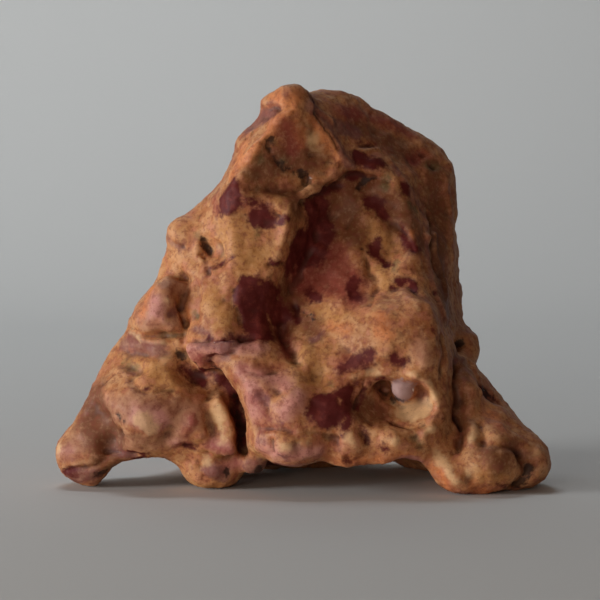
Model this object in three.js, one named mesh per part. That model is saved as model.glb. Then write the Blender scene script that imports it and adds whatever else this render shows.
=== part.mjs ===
// Rough agate: one wind-worn nodule, standing like a small mountain on its own feet.
// Millimetres, +Z up. The stone's weathered show face looks along -Y. The origin is on the
// surface it stands on, under the middle of its bounding box.
//
// The stone is a field of signed distance. Angular chunks grown together give its outline and
// its back. The show face is a relief laid over them, lumps are added, and furrows and hollows
// are worn out. A sphere of triangles is then drawn onto the zero of that field.
import * as THREE from "three";
import { ConvexHull } from "three/addons/math/ConvexHull.js";
import { ImprovedNoise } from "three/addons/math/ImprovedNoise.js";
import { mergeVertices } from "three/addons/utils/BufferGeometryUtils.js";

// Driving sizes: the shape
const EDGE_WEAR = 0.9; // how far wear has rounded a chunk's edges
const FACE_SWELL = 0.4; // how far a chunk's faces bulge past its corners
const CHUNK_BLEND = 2.2; // how softly chunks run into each other
const RELIEF_START = -4; // y where the chunks end and the relief takes over
const RELIEF_SOFTNESS = 0.8; // how rounded the relief is at its crests and furrows
const RELIEF_BLEND = 2.4; // how softly the relief turns into the outline
const RELIEF_SLOPE = 0.8; // turns a height over the relief into a distance from it
const BACK = [-6, 6]; // y between which the show face's fine grain turns into the back's coarse one
const GRAIN = [[3.9, 0.3, 0.4], [7.5, 0.2, 0.8], [14, 0, 1.4]]; // size, height in front, more behind
const FOOT_SNAP = 0.03; // what is nearer the ground than this is worn flat

// Driving sizes: the triangles
const SPHERE_DETAIL = 21; // 20 * (detail + 1)^2 triangles
const MIDDLE = new THREE.Vector3(0, 0, 18); // the sphere is drawn in towards this point
const START_RADIUS = 70; // clear of the stone all round
const DRAW_STEPS = 400; // the most steps that a corner takes on its way in
const DRAW_SHARE = 0.5; // each step's share of the distance that is left
const DRAW_LIMIT = 3; // the distance that a step goes by, at most
const TOUCH = 0.01; // near enough to the skin
const PROBE = 0.05; // how far apart the field is felt for its slope
const LEAST_SLOPE = 0.5; // keeps a landing short where the field is nearly flat
const LANDING_LIMIT = 1.5; // the furthest a corner is landed in slopes' lengths
const EVENING_SHARE = 0.6; // how far a corner goes towards its neighbours' middle
const EVENING_ROUNDS = 60;
const LANDING_ROUNDS = 3;

// The chunks, each the convex hull of its corners.
const CHUNKS = {
  peak: [
    [-1.5, -4, 65.5], [3, -4, 65], [-5.5, -4, 63], [-10, -4, 57], [-12, -4, 52.5], [-13.5, -4, 49],
    [4, 8, 65], [10, 4, 62], [15, 8, 63.5], [18.5, 9, 61.5], [22.5, 10, 58.5], [26, 12, 55],
    [27.2, 13, 50], [27, 12, 40], [24, -4, 50], [26.5, -4, 38], [10, 18, 58], [21, 20, 48],
    [-9, 12, 53], [-17, 11, 40], [20, 22, 30], [-16, -4, 40],
  ],
  trunk: [
    [-22, -4, 42.5], [-17.5, -4, 46.5], [-13.5, -4, 49], [-24, -4, 37], [-25.5, -4, 32],
    [-18, 8, 38], [-22, 13, 14], [-20, 18, 0], [8, 26, 0], [23, 19, 0], [20, 23, 20], [27, 6, 0],
    [27, 12, 40], [26.5, -4, 38], [26.5, -4, 26], [-9, 13, 48], [20, 21, 40],
    [-8, -4, 6], [24, -4, 6], [-25, -4, 24],
  ],
  left_lobe: [
    [-25.5, -4, 32], [-28.5, -4, 27.5], [-29, -4, 23.5], [-31, -4, 19.5], [-33.5, -4, 15],
    [-36.5, -4, 11], [-39, -4, 8], [-39.5, -4, 5], [-26, -4, 4], [-18, -4, 5], [-12, -4, 6],
    [-30, 5, 6], [-15, 8, 6], [-20, 6, 30], [-36, 1, 4],
  ],
  left_tip: [
    [-40, -4, 6.5], [-40, -4, 1.5], [-37, -4, -2], [-33.5, -4, -2], [-31, -4, 2.5], [-32, -4, 10],
    [-38, 0, 3], [-33, 1, 1], [-33, 1, 8],
  ],
  right_foot: [
    [27, -4, 23], [29.5, -4, 16], [33, -4, 11.5], [37.5, -4, 8.5], [41, -4, 5], [41.5, -4, 3],
    [40, -4, 0], [36, -4, -2], [21, -4, -2], [19, -4, 3], [20, 2, 12], [38, 0, 3], [29, 6, -1],
    [28, 4, 16],
  ],
  back_spur: [
    [-30, 2, 13], [-26, 12, 3], [-12, 21, 4], [-6, 23, 16], [-18, 13, 28], [-27, 5, 22],
    [-10, 5, 10],
  ],
};

// The show face, along its crests and furrows and across its swells.
const SHOW_FACE = {
  rim: [
    [-5.5, -4.5, 62], [-8, -4, 60], [-10, -3.5, 57.5], [-11.5, -3.5, 54], [-13, -3.5, 51],
    [-16, -4.5, 47.5], [-20.5, -5.5, 42.5], [-22, -5, 37.5], [-24, -6.5, 33], [-27.5, -7.5, 27],
    [-30.5, -8, 21.5], [-34, -8.5, 16], [-38.5, -9, 9.5],
  ],
  tip: [[-39.5, -10.5, 6], [-38, -12, 2], [-34.5, -13, 0.5], [-32, -12.5, 3.5]],
  apex: [[-2, -6, 64], [1, -4.5, 64], [4.5, -1, 64]],
  ridge: [[0, -9, 62], [-3, -12, 60], [-5.5, -12.8, 57.5], [-8.5, -13.2, 54], [-11, -13, 51],
    [-12.5, -12.2, 48]],
  facet: [[-6, -7.6, 59], [-10, -8.6, 53]],
  block: [
    [1, -9, 59.5], [-2.5, -10.6, 57], [3, -8.4, 56], [0, -9.8, 53], [-5, -11.4, 51.5],
    [3.5, -8.8, 50.5], [-8, -12.4, 49], [-3, -11.6, 48.5],
  ],
  cliff_edge: [
    [4.5, -7.8, 58.5], [5.5, -7.8, 55.5], [7.5, -7.6, 52.5], [4, -8.8, 49.5], [1, -11.6, 47],
    [0, -13, 44], [-0.5, -13.2, 40.5], [-2, -13, 37], [-4, -13.4, 34.5], [-6, -13.8, 31],
    [-6.5, -14.6, 27.5],
  ],
  valley: [
    [8, -5.2, 50], [5, -4.2, 47], [3, -4.6, 44], [2, -6.4, 40.5], [0.5, -8, 37], [-1, -9, 34],
    [-2, -10, 30.5], [-3.5, -12.5, 26.5],
  ],
  slope: [
    [8.5, -4, 46], [7.5, -5.8, 41], [5, -8.4, 36.5], [3, -11, 31.5], [9, -8.2, 38],
    [10.5, -10.4, 33], [14, -5.8, 43], [15.5, -8.4, 38], [16, -11.8, 33.5],
  ],
  knuckle: [[9, -4.4, 53.5], [12, -3.8, 53.5]],
  middle_ridge: [
    [14.5, -3.2, 52], [17, -4, 48], [19, -5.4, 43.5], [19.5, -7.6, 38.5], [20.5, -9.8, 34],
    [22.5, -12.4, 28.5], [24.5, -13.4, 23.5], [24.5, -14.4, 19.5],
  ],
  shoulder: [
    [6.5, -3, 59], [11.5, 0, 56.5], [16.5, 3, 55], [22, 6.5, 52.5], [20.5, 1.5, 45], [23.5, 5, 44],
    [23, -1.6, 37], [25, 4, 35.5], [24.5, -3, 30], [26, 3, 29],
  ],
  dome: [
    [7, -13.2, 31], [12, -15, 28.5], [17, -15.4, 28.5], [20.5, -14.4, 27], [5.5, -15.6, 25.5],
    [13.5, -18, 24.5], [18.5, -17, 22.5], [8, -17.8, 21.5], [1, -15.8, 23.5], [22, -17.2, 19.5],
  ],
  buttress: [
    [-9.5, -13, 44.5], [-4, -13.6, 43.5], [-14, -10, 44.5], [-17.5, -8.6, 42.5], [-15, -9.2, 39.5],
    [-12.5, -12, 39], [-8, -14, 40], [-4, -14.4, 39], [-19.5, -8.4, 36.5], [-15.5, -11.8, 35.5],
    [-10, -14.4, 35], [-16, -14.2, 31], [-12, -15.4, 31], [-14.5, -15.6, 27.5], [-9.5, -15.6, 27.5],
  ],
  lip: [
    [-15.5, -15.4, 25.3], [-9, -15.6, 25.3], [-18, -17.4, 23.5], [-14, -18.4, 23], [-9.5, -18.2, 23.5],
    [-5.5, -17.2, 24],
  ],
  cleft_edge: [[-13.5, -16.6, 20.5], [-11, -18, 18.5], [-9, -18.8, 15.5], [-8, -18.8, 11.5], [-8, -18, 8]],
  belly: [
    [-6.5, -19, 20.5], [-1, -19, 20], [4, -19, 18.5], [-6, -20.6, 16], [-1.5, -22, 15], [4, -21.4, 14.5],
    [-6, -20.4, 12], [0.5, -22, 11], [7, -21.4, 10.5], [13.5, -21.2, 9.5], [20, -21, 9], [-6, -19, 8],
    [-1.5, -20.6, 6.5], [4, -19.8, 7], [9, -19.4, 6.5], [16, -19.2, 7], [21.5, -18.6, 6.5],
  ],
  eye: [
    [6.5, -20.4, 15.5], [10, -18.6, 19.8], [15.5, -18.8, 20.2], [19, -19.6, 19.5], [22, -20, 16.5],
    [23, -19.6, 13], [19.5, -20.8, 11.5], [14, -21.2, 11], [9.5, -21, 12.5], [12, -17.2, 16],
    [14.5, -16.8, 14.5], [19, -18, 14.5], [16.5, -18, 17.5],
  ],
  cleft: [
    [-19, -11.5, 31], [-19, -12, 27.5], [-19.5, -13, 24], [-19, -13.6, 20.5], [-15.5, -14, 19],
    [-12, -12.6, 17], [-10.4, -11.5, 13.5], [-10, -11.5, 10.5], [-9.6, -12, 7.5],
  ],
  lobe: [
    [-22, -10.5, 31], [-23.5, -11, 27], [-25, -10.8, 24], [-24.5, -13, 21], [-29, -10.4, 20],
    [-19.5, -14, 17.5], [-24.5, -15, 15], [-32, -12, 14.5], [-19.5, -15.2, 11.5], [-15, -14.8, 14],
    [-12.5, -15, 10], [-16.5, -14.4, 7.5], [-26, -14.2, 9], [-33, -12.6, 9.5], [-35.5, -11.8, 6],
    [-28, -12, 5], [-22, -12, 5.5],
  ],
  middle_foot: [[-18, -11.5, 3.5], [-14, -13.5, 4], [-10.5, -12.5, 4], [-14.5, -11.5, 1]],
  foot_cleft: [[25.5, -11.6, 20], [25.5, -12, 15.5], [25.5, -13.4, 11], [25.5, -16.4, 8]],
  right_foot: [
    [28, -9.6, 19], [27.5, -14, 15], [31, -7.4, 17], [31, -12.4, 13], [33.5, -13, 11], [28, -17, 10],
    [33.5, -6.6, 14], [27.5, -19.4, 7], [31.5, -19.6, 7], [31.5, -19.4, 3], [23.5, -19.4, 4.5],
    [27, -19.4, 2], [36, -11.5, 9.5], [37, -13.6, 5], [38.5, -15, 7.5], [40.5, -13, 5], [38.5, -15.5, 2.5],
  ],
  knob: [[28.5, -1.5, 22.5], [27, -1, 24], [29, -2.5, 20]],
};

// Lumps: [name, centre, half sizes, blend]
const LUMPS = [
  ["apex_knob", [-2, -4, 63], [4, 4, 3.2], 1],
  ["apex_bead", [-4.8, -3.5, 61.8], [2.2, 2.4, 2.2], 0.8],
  ["shoulder_bead", [-8.8, -2.5, 56.5], [2, 3, 2.4], 1],
  ["rim_knob", [-19.5, -4.5, 41.5], [3, 3.6, 3], 0.8],
  ["lobe_crown", [-22.2, -8.4, 29], [3.6, 4.4, 5.8], 1.2],
  ["crown_side", [-24.5, -8, 26.5], [3.6, 4, 4], 1.5],
  ["crown_foot", [-21, -10.5, 24], [3.5, 3.5, 2], 0.8],
  ["lobe_belly", [-25, -9.5, 12.5], [9, 6.5, 6.5], 3],
  ["lobe_heel", [-15.5, -11.5, 10.5], [3, 4.5, 4.5], 1.2],
  ["tip_knob", [-37.5, -7.5, 5], [3, 4, 4.5], 1.5],
  ["middle_foot", [-14.5, -8, 3.5], [5.6, 5.5, 4.8], 1],
  ["middle_bead", [-7.5, -12, 4.5], [2.2, 2.6, 2.2], 0.8],
  ["belly_low", [-1, -16.5, 8.5], [5.5, 6, 4], 1.5],
  ["belly_middle", [8, -16.5, 8], [4.5, 4.5, 3], 1.2],
  ["belly_right", [15.5, -16.5, 8.3], [5, 4.5, 2.6], 1.2],
  ["dome_crown", [14.5, -13, 25], [6.5, 5, 6], 2.5],
  ["right_knob", [27, 2, 22], [3.1, 4.5, 3.7], 1.2],
  ["foot_knob", [31, -14.5, 5.5], [5, 5.5, 6], 0.8],
  ["foot_toe", [25.5, -15.5, 2.5], [3.5, 4.5, 4], 0.8],
  ["foot_tip", [38, -11, 4.5], [3.6, 5.5, 4.8], 0.8],
  ["foot_bump", [32.5, -9.5, 10.8], [3, 3.5, 2.8], 0.8],
  ["foot_strip", [27.5, -11, 15.5], [1.8, 3, 5], 0.8],
  ["back_rib", [-2, 18, 34], [7, 4, 14], 4.5],
  ["back_shoulder", [12, 19, 43], [8, 4.5, 8], 4],
  ["back_heel", [2, 22, 7], [9, 5, 6.5], 2.5],
  ["back_knuckle", [-15, 14.5, 25], [6.5, 4, 6], 4.5],
  ["back_bead", [-8, 18.5, 17], [3.5, 3, 3], 3],
  ["right_swell", [23.5, 10, 33], [3, 6, 7], 2.5],
  ["right_heel", [26, 14, 6], [5, 7, 6], 2],
  ["left_bead", [-23.5, 7.5, 20], [3.5, 3.5, 3.5], 2.5],
];

// Furrows: [name, path, radius, blend]
const FURROWS = [
  ["crown_cleft", [[-21.5, -9.5, 35], [-18.8, -10.5, 33], [-18.6, -13, 28], [-19.2, -15, 24.5]], 1, 0.8],
  ["back_valley", [[2, 12, 62], [6, 19, 50], [7, 22, 38], [10, 24, 24], [14, 26, 8]], 3.4, 3],
  ["back_gully", [[-16, 10, 44], [-9, 17, 34], [-10, 20, 24], [-16, 20, 10]], 2.4, 2],
  ["right_gully", [[27, 14, 44], [28, 13, 30], [29, 8, 16]], 1.6, 2],
  ["lobe_belt", [[-30, -7, 25], [-25, -11.5, 24.8], [-20, -13, 24.8]], 0.9, 0.8],
];

// Hollows: [name, centre, half sizes, blend]
const HOLLOWS = [
  ["knob_pit", [27, -3, 22], [1.6, 2.2, 1.6], 0.6],
  ["lobe_arch", [-25, -6, 1.5], [5.5, 14, 3.6], 1.5],
  ["belly_arch", [10.5, -6, 0], [13, 25, 5.8], 1.2],
  ["belly_notch", [17.5, -14, 4.6], [3, 12, 1.4], 0.8],
  ["back_arch", [13, 24, 0], [6, 8, 3.4], 1.5],
  ["spur_arch", [-13, 16, 0], [5, 12, 3], 1.5],
  ["back_eye", [18, 20.5, 34], [3.6, 3, 4.4], 1.5],
];

const smoothMin = (a, b, k) => {
  const h = Math.max(k - Math.abs(a - b), 0) / k;
  return Math.min(a, b) - h * h * k * 0.25;
};
const smoothMax = (a, b, k) => -smoothMin(-a, -b, k);

// The planes of a convex hull, each once, as outward normal and offset.
function hullPlanes(corners) {
  const samePlane = 0.9995;
  const hull = new ConvexHull().setFromPoints(corners.map((c) => new THREE.Vector3(...c)));
  const planes = [];
  for (const { normal, constant } of hull.faces) {
    const known = planes.some((q) => q.normal.dot(normal) > samePlane);
    if (!known) planes.push({ normal: normal.clone(), constant: constant + FACE_SWELL });
  }
  return planes;
}
const chunkPlanes = Object.values(CHUNKS).map(hullPlanes);

function chunkDistance(planes, p) {
  let d = -Infinity;
  for (const { normal, constant } of planes) {
    const side = normal.dot(p) - constant;
    d = d === -Infinity ? side : smoothMax(d, side, 2 * EDGE_WEAR);
  }
  return d;
}

function ellipsoidDistance(p, centre, half) {
  const x = (p.x - centre[0]) / half[0];
  const y = (p.y - centre[1]) / half[1];
  const z = (p.z - centre[2]) / half[2];
  const k = Math.hypot(x, y, z);
  const g = Math.hypot(x / half[0], y / half[1], z / half[2]);
  return g > 0 ? (k * (k - 1)) / g : -Math.min(...half);
}

function pathDistance(p, path) {
  const nearest = new THREE.Vector3();
  let best = Infinity;
  for (let i = 0; i + 1 < path.length; i++) {
    const stretch = new THREE.Line3(new THREE.Vector3(...path[i]), new THREE.Vector3(...path[i + 1]));
    stretch.closestPointToPoint(p, true, nearest);
    best = Math.min(best, nearest.distanceTo(p));
  }
  return best;
}

// Solves a square set of linear equations, each row its factors and then its right side.
function solve(rows) {
  const n = rows.length;
  for (let i = 0; i < n; i++) {
    let pivot = i;
    for (let j = i + 1; j < n; j++) {
      if (Math.abs(rows[j][i]) > Math.abs(rows[pivot][i])) pivot = j;
    }
    [rows[i], rows[pivot]] = [rows[pivot], rows[i]];
    for (let j = i + 1; j < n; j++) {
      const f = rows[j][i] / rows[i][i];
      for (let k = i; k <= n; k++) rows[j][k] -= f * rows[i][k];
    }
  }
  const x = new Array(n).fill(0);
  for (let i = n - 1; i >= 0; i--) {
    let s = rows[i][n];
    for (let k = i + 1; k < n; k++) s -= rows[i][k] * x[k];
    x[i] = s / rows[i][i];
  }
  return x;
}

// The relief passes through every point of the show face: y = level + sum of weight * cone.
const cone = (dx, dz) => Math.sqrt(dx * dx + dz * dz + RELIEF_SOFTNESS ** 2);
const reliefPoints = Object.values(SHOW_FACE).flat();
const reliefLevel = reliefPoints.reduce((sum, [, y]) => sum + y, 0) / reliefPoints.length;
const reliefWeights = solve(
  reliefPoints.map(([x, y, z]) => {
    const factors = reliefPoints.map(([u, , w]) => cone(x - u, z - w));
    return [...factors, y - reliefLevel];
  }),
);
function relief(x, z) {
  let y = reliefLevel;
  for (let i = 0; i < reliefPoints.length; i++) {
    y += reliefWeights[i] * cone(x - reliefPoints[i][0], z - reliefPoints[i][2]);
  }
  return y;
}

const noise = new ImprovedNoise();
const NOISE_START = [31.7, 11.3, 5.9];
function grain(p, size) {
  const [x, y, z] = NOISE_START;
  return noise.noise(p.x / size + x, p.y / size + y, p.z / size + z);
}

// Signed distance to the stone's skin at a point, negative inside.
function stone(p) {
  const q = new THREE.Vector3(p.x, Math.max(p.y, RELIEF_START), p.z);
  let d = Infinity;
  for (const planes of chunkPlanes) d = smoothMin(d, chunkDistance(planes, q), CHUNK_BLEND);
  d = smoothMax(d, RELIEF_SLOPE * (relief(p.x, p.z) - p.y), RELIEF_BLEND);
  for (const [, centre, half, blend] of LUMPS) {
    d = smoothMin(d, ellipsoidDistance(p, centre, half), blend);
  }
  for (const [, path, radius, blend] of FURROWS) {
    d = smoothMax(d, radius - pathDistance(p, path), blend);
  }
  for (const [, centre, half, blend] of HOLLOWS) {
    d = smoothMax(d, -ellipsoidDistance(p, centre, half), blend);
  }
  const behind = THREE.MathUtils.smoothstep(p.y, ...BACK);
  for (const [size, front, more] of GRAIN) d += (front + more * behind) * grain(p, size);
  return Math.max(d, -p.z);
}

function slope(p, d) {
  const g = new THREE.Vector3(
    stone(new THREE.Vector3(p.x + PROBE, p.y, p.z)) - d,
    stone(new THREE.Vector3(p.x, p.y + PROBE, p.z)) - d,
    stone(new THREE.Vector3(p.x, p.y, p.z + PROBE)) - d,
  );
  return g.divideScalar(PROBE);
}

// Moves a point onto the skin, and along it by the part of pull that lies in it.
function land(p, pull) {
  const d = stone(p);
  const g = slope(p, d);
  const out = g.clone().normalize();
  const move = -d / Math.max(g.lengthSq(), LEAST_SLOPE ** 2);
  return p.clone()
    .add(pull)
    .addScaledVector(out, -pull.dot(out))
    .addScaledVector(g, THREE.MathUtils.clamp(move, -LANDING_LIMIT, LANDING_LIMIT));
}

// Draws a corner of the sphere in from outside until it touches the skin.
function drawIn(out) {
  let far = START_RADIUS;
  for (let step = 0; step < DRAW_STEPS; step++) {
    const d = stone(out.clone().multiplyScalar(far).add(MIDDLE));
    if (d < TOUCH) break;
    far -= DRAW_SHARE * Math.min(d, DRAW_LIMIT);
  }
  return out.clone().multiplyScalar(far).add(MIDDLE);
}

// A sphere of triangles, drawn in onto the skin from outside and then evened out along it.
function skin() {
  const sphere = new THREE.IcosahedronGeometry(1, SPHERE_DETAIL);
  sphere.deleteAttribute("normal");
  sphere.deleteAttribute("uv");
  const geometry = mergeVertices(sphere, 1e-4);
  const index = geometry.index.array;
  const position = geometry.getAttribute("position");
  const neighbours = Array.from({ length: position.count }, () => new Set());
  for (let i = 0; i < index.length; i += 3) {
    const [a, b, c] = index.subarray(i, i + 3);
    neighbours[a].add(b).add(c);
    neighbours[b].add(c).add(a);
    neighbours[c].add(a).add(b);
  }
  let corners = [];
  for (let i = 0; i < position.count; i++) {
    corners.push(drawIn(new THREE.Vector3().fromBufferAttribute(position, i).normalize()));
  }
  for (let round = 0; round < EVENING_ROUNDS; round++) {
    corners = corners.map((p, i) => {
      const pull = new THREE.Vector3();
      let weights = 0;
      for (const j of neighbours[i]) {
        const weight = corners[j].distanceTo(p);
        pull.addScaledVector(corners[j], weight);
        weights += weight;
      }
      return land(p, pull.divideScalar(weights).sub(p).multiplyScalar(EVENING_SHARE));
    });
  }
  for (let round = 0; round < LANDING_ROUNDS; round++) {
    corners = corners.map((p) => land(p, new THREE.Vector3()));
  }
  corners.forEach((p, i) => position.setXYZ(i, p.x, p.y, p.z < FOOT_SNAP ? 0 : p.z));
  geometry.computeBoundingBox();
  const centre = geometry.boundingBox.getCenter(new THREE.Vector3());
  geometry.translate(-centre.x, -centre.y, 0);
  geometry.computeVertexNormals();
  return geometry;
}

const agate = new THREE.Mesh(
  skin(),
  new THREE.MeshStandardMaterial({ color: 0xa8683f, roughness: 0.45, metalness: 0 }),
);
agate.name = "agate";

const group = new THREE.Group();
group.add(agate);

export default group;
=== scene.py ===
import math

import bmesh
import bpy
import numpy as np
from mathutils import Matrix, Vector, noise
from mathutils.bvhtree import BVHTree


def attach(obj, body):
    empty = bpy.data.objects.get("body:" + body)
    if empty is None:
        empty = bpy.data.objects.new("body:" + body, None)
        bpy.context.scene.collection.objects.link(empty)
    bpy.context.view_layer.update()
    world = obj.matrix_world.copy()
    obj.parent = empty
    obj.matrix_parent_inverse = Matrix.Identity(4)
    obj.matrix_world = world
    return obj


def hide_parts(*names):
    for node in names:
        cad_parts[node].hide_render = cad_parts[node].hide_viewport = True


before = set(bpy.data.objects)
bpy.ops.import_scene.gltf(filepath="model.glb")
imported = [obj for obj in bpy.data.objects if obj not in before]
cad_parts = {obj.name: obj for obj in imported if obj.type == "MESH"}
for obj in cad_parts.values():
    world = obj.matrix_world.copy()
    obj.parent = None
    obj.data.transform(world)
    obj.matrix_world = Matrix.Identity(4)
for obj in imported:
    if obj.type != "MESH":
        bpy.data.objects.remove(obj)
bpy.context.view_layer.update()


# --- The stone -----------------------------------------------------------------------------------
# One solid lump of agate, worn by blown sand, with an eye-like bowl low on its face that holds a
# pearl-like ball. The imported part's skin is rounded off and remade of fine cells. Then its flats
# are laid, the eye is sunk, and creases, pits and beads are carved where weather has found them.
MM = 0.001

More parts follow.
